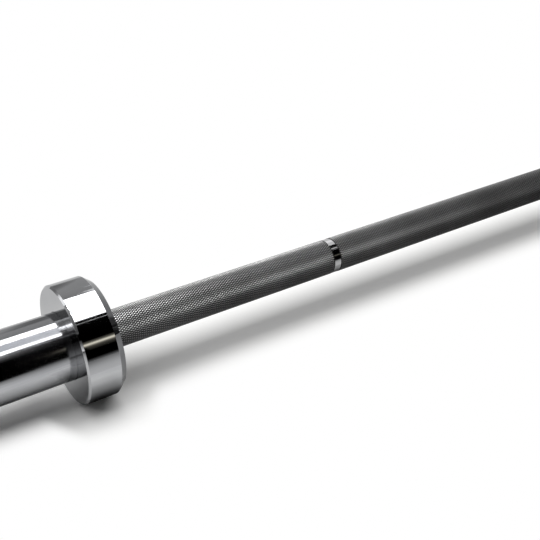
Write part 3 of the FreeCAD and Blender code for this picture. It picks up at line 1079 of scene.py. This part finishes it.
@dataclass
class Studio:
    """Soft overhead lamps, the cards that polished metal mirrors, and the camera.

    Lengths are in metres, and angles in degrees from straight up towards the camera.
    """

    height: float = 2.4  # of the lamps above the bar's axis
    left: float = 85.0  # brightness of the panel at the near end
    rear: float = 3.8  # brightness of the strip behind the bar
    front: float = 2.8  # brightness of the strip and the panel in front of it
    soft: float = 2.25  # brightness of the lamp over the floor
    fill: float = 0.08  # brightness of the surroundings as light
    lamp_ends: Pair = (-1.1, 0.2)  # from and to of the metal's lamps along the bar
    floor_lamp: Pair = (-3.6, 2.1)  # from and to of the floor's lamp along the bar
    gap: Pair = (-0.6, -0.035)  # from and to of the open ceiling between the strips
    rear_angles: Pair = (-13.0, -30.7)  # from and to of the rear strip
    front_angles: Pair = (19.9, 11.0)  # from and to of the front strip
    floor_angles: Pair = (24.0, -30.0)  # from and to of the floor's lamp
    ends: Pair = (-4.0, 8.0)  # from and to of the studio along the bar
    flag: float = -0.45  # where the black flag stands, in front of the bar
    flag_top: float = 26.5  # angle at which the flag ends
    back: float = 1.8  # where the back wall stands
    wall_top: float = 31.0  # angle at which the back wall ends, on its own side
    eye: tuple[float, float, float] = (-0.8415, -0.5058, 0.3689)  # where the camera stands
    aim: tuple[float, float, float] = (0.467992, 0.717632, -0.515741)  # which way it looks
    lens: float = 59.81  # its focal length, in mm
    sensor: float = 36.0  # width of its picture, in mm

    def across(self, angles: Pair) -> Pair:
        """Where lines at these two angles meet the lamps' height, the one nearer to the camera first."""
        near, far = (-self.height * math.tan(math.radians(angle)) for angle in sorted(angles, reverse=True))
        return near, far

    def overhead(self, name: str, x: Pair, angles: Pair, *look: object, **more: object) -> Card:
        """A level card just above the lamps, from and to these angles."""
        return Card(name, x, self.across(angles), self.height + 0.01, *look, **more)

    def surroundings(self) -> None:
        """White to the camera and to mirrors, a dim even fill as light."""
        world = bpy.data.worlds.new("studio")
        bpy.context.scene.world = world
        world.use_nodes = True
        tree = world.node_tree
        tree.nodes.clear()
        level = ramp(tree, looked_at(tree), target=(self.fill, 1.0))
        white = add(tree, "Background", {"Color": linear("#FFFFFF"), "Strength": level})
        add(tree, "OutputWorld", {0: white})
        world.cycles.sampling_method = "NONE"

    def lamps(self, floor: bpy.types.Object) -> None:
        """Hangs two long strips and two panels for the metal, and one wide lamp for the floor.

        Args:
            floor: the floor.
        """
        rear, front, wide = (self.across(pair) for pair in
                             (self.rear_angles, self.front_angles, self.floor_angles))
        ends, between = self.lamp_ends, (front[1], rear[0])
        lamps = [
            SoftBox("rear_strip", ends, rear, self.height, self.rear),
            SoftBox("front_strip", ends, front, self.height, self.front),
            SoftBox("panel", (self.gap[1], ends[1]), between, self.height, self.front),
            SoftBox("left_panel", (ends[0], self.gap[0]), between, self.height, self.left),
            SoftBox("floor_lamp", self.floor_lamp, wide, self.height, self.soft, Reach.FLOOR),
        ]
        for lamp in lamps:
            lamp.build(floor)

    def walls(self) -> list[Card]:
        """What stands round the bar: a black flag and a dim floor in front, grey walls, a few lights.

        Returns:
            The cards.
        """
        level, flag, back = CAD_BOX[0].z, self.flag, self.back
        start, end = self.ends
        top = -flag / math.tan(math.radians(self.flag_top))
        crown = back / math.tan(math.radians(self.wall_top))
        return [
            Card("flag", (start, end), flag, (level, top)),
            Card("apron", (start, end), (flag, flag + 0.34), level + 0.002,
                 (0.02, 0.06, 0.14, 0.28, 0.48, 0.72, 0.9)),
            Card("wall", (start, 0.45), back, (level, crown), (0.6, 0.52, 0.45, 0.3),
                 (1.0,) * 8 + (0.5, 0.5, 0.6) + (1.0,) * 4 + (2.0,)),
            Card("back_light", (0.45, 3.2), back, (0.7, 2.45), (1.5, 2.0, 2.0, 1.7),
                 (1.0, 1.0, 0.9, 0.7, 0.5, 0.4)),
            Card("low_light", (0.06, 0.45), back - 0.01, (0.7, 1.65), (1.7, 2.2, 2.1, 1.7)),
            Card("stand", (-0.36, -0.16), back - 0.05, (0.1, 1.05), (0.24,), (2.0, 1.3, 1.0, 1.0, 1.3, 2.0)),
            Card("low_wall", (0.1, end), back - 0.1, (level, level + 0.75), (1.0,),
                 (1.6, 1.3, 0.9, 0.8, 0.68, 0.6, 0.56, 0.54, 0.5, 0.48, 0.45, 0.42, 0.4, 0.35, 0.3, 0.2)),
            Card("end_wall", end, (flag, back), (level, level + 1.0), (0.1,)),
            Card("low_end", -0.15, (-0.2, 0.2), (level, level + 0.07), (0.03,)),
            Card("left_wall", start, (flag, back), (level, level + 3.0), (1.0,),
                 (0.06, 0.25, 0.35, 0.5, 0.8)),
            Card("left_window", (-3.5, -2.0), back - 0.02, (0.6, 1.8), (0.6, 1.9, 1.9, 1.7)),
            Card("left_foot", (-3.0, -0.72), flag + 0.01, (level, level + 0.34),
                 (1.4, 0.9, 0.35, 0.13, 0.08), (1.0, 1.0, 1.0, 1.0, 0.7, 0.45, 0.4)),
            Card("apron_light", (-0.74, -0.34), (flag, flag + 0.33), level + 0.004,
                 (0.15, 0.33, 0.36, 0.33, 0.25, 0.1, 0.0), (0.0, 0.4, 1.0, 0.6, 0.0), cloth=Cloth.SHEER),
        ]

    def ceiling(self) -> list[Card]:
        """What hangs above the bar beside the lamps: dark cloth, and paler cloth at both ends.

        Returns:
            The cards.
        """
        start, end = self.ends
        lit = self.lamp_ends[1]
        return [
            self.overhead("rim", (start, end), (25.5, 19.9)),
            self.overhead("between", self.gap, (11.0, -13.0), (0.8, 0.92, 0.8),
                          (1.0, 1.0, 1.0, 0.6), "#F4F7FF"),
            self.overhead("ceiling", (lit, end), (11.5, -12.0)),
            self.overhead("rear_sky", (lit, 4.0), (-12.0, -36.8), (1.5,), (1.0, 0.9, 0.6, 0.4)),
            self.overhead("left_ceiling", (start, -1.15), (20.0, -40.0),
                          (0.0, 0.02, 0.1, 0.25, 0.35, 0.4, 0.45, 0.45, 0.5, 1.2, 2.0, 2.4)),
            self.overhead("left_tube", (start, -1.15), (2.0, -11.0), (0.0, 11.0, 14.0, 13.0, 8.0, 3.0, 0.0),
                          cloth=Cloth.SHEER),
        ]

    def streaks(self) -> list[Card]:
        """Narrow lights in front of the flag: a pale one, a warm one and one at its foot.

        Returns:
            The cards.
        """
        level, flag = CAD_BOX[0].z, self.flag
        return [
            Card("front_glow", (-0.82, -0.51), flag + 0.01, (0.472, 1.19),
                 (0.005, 0.045, 0.13, 0.27, 0.6, 1.35, 2.2, 2.8, 3.0), (1.0, 1.0, 1.0, 0.0)),
            Card("warm", (-0.567, 0.133), flag + 0.02, (0.112, 0.262),
                 (0.0, 0.04, 0.08, 0.13, 0.22, 0.5, 1.7, 2.8, 1.7, 0.45, 0.25, 0.12, 0.0),
                 (0.56, 0.56, 0.4, 0.2, 0.12, 0.1, 0.1, 0.1), "#FFF8E4"),
            Card("flag_foot", (-0.62, -0.4), flag + 0.01, (level, level + 0.05),
                 (0.25, 0.18, 0.1, 0.03, 0.0), cloth=Cloth.SHEER),
        ]

    def shades(self) -> list[Card]:
        """Veils close under the bar, where it mirrors a darker floor than the soft lamps leave, and gleams.

        Returns:
            The cards.
        """
        level = CAD_BOX[0].z
        on_floor = level + 0.001
        veil = {"cloth": Cloth.VEIL}
        bar = (0.0, 0.2, 0.4, 0.35, 0.35, 0.5, 0.55, 0.6, 0.4, 0.0)
        collar = (0.0, 0.12, 0.2, 0.42, 0.55, 0.78, 0.92, 0.92)
        sleeve = (0.0, 0.22, 0.34, 0.32, 0.38, 0.53, 0.64, 0.63, 0.65, 0.55, 0.0)
        # Painted light: a glowing card on the floor under each sleeve stands in for the light that chrome
        # throws back there.
        gleam = (0.0, 0.06, 0.13, 0.17, 0.15, 0.08, 0.03, 0.0)
        gleams = [Card(f"{side.label}_gleam", (side.value * 0.682, side.value * 1.1), (-0.015, 0.055),
                       level + 0.0005, gleam, (2.1, 1.1) + (1.0,) * 12 + (0.8, 0.4, 0.0),
                       cloth=Cloth.SHEER, seen=True) for side in Side]
        sleeves = [Card(f"{side.label}_shade", (side.value * 0.685, side.value * 1.105), (-0.07, 0.03),
                        on_floor, sleeve, (0.0, 0.8) + (1.0,) * 7 + (0.0,), **veil) for side in Side]
        return [
            Card("bar_shade", (-0.645, 0.645), (-0.06, 0.03), on_floor, bar,
                 (0.0,) + (1.0,) * 20 + (0.0,), **veil),
            Card("collar_shade", (-0.69, -0.63), (-0.085, -0.015), on_floor, collar,
                 (0.0, 0.7, 1.0, 1.0, 1.0, 0.6, 0.3, 0.0), **veil),
            *gleams,
            *sleeves,
        ]

    def camera(self) -> None:
        """Stands the camera above and in front of the left end, looking along the bar."""
        data = bpy.data.cameras.new("camera")
        data.lens, data.sensor_width = self.lens, self.sensor
        holder = bpy.data.objects.new("camera", data)
        holder.location = self.eye
        holder.rotation_mode = "QUATERNION"
        holder.rotation_quaternion = Vector(self.aim).to_track_quat("-Z", "Y")
        bpy.context.scene.collection.objects.link(holder)
        bpy.context.scene.camera = holder

    def build(self) -> None:
        """Sets up the floor, the light, the cards and the camera."""
        bpy.context.scene.view_settings.view_transform = "Standard"
        floor = Floor().build()
        self.surroundings()
        self.lamps(floor)
        for card in self.walls() + self.ceiling() + self.streaks() + self.shades():
            card.build()
        self.camera()


def main() -> None:
    """Builds the bar piece by piece, then the studio."""
    logging.basicConfig(level=logging.INFO, format="%(name)s %(message)s")
    finishes = {slot: finish.material() for slot, finish in FINISHES.items()}
    Shaft().build()
    for side in Side:
        SleeveEnd(side).build(finishes)
    Studio().build()


if __name__ == "__main__":
    main()
